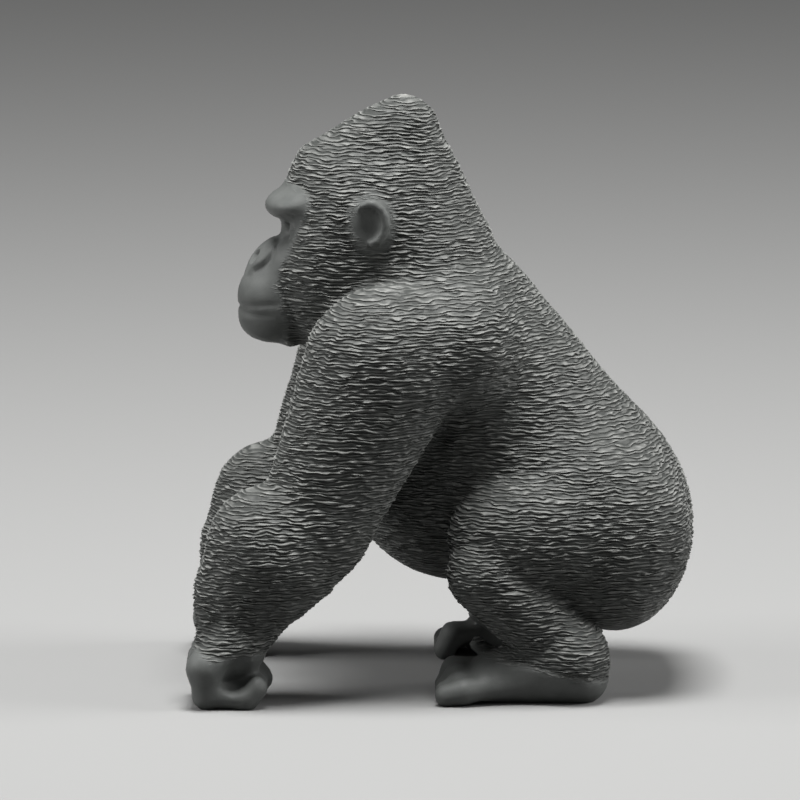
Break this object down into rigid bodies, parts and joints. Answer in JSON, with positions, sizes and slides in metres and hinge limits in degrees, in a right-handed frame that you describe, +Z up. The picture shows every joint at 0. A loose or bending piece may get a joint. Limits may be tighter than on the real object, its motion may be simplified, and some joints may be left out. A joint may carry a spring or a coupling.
{
  "type": "gorilla figurine",
  "caption": "Small solid figurine of a gorilla walking on its knuckles, with a high crested head, shaggy coat and flat feet.",
  "frame": {"origin": "centre of the figure's footprint, on the plane that the knuckles and soles stand on", "axes": "+Z up, -Y the way the face looks, +X the figure's left side"},
  "size_m": [0.0374, 0.0516, 0.0602],
  "materials": {
    "resin": "dull dark grey casting resin, combed coat with bare face, ears, hands and feet"
  },
  "bodies": {
    "root": {"gorilla": "resin"}
  },
  "joints": []
}
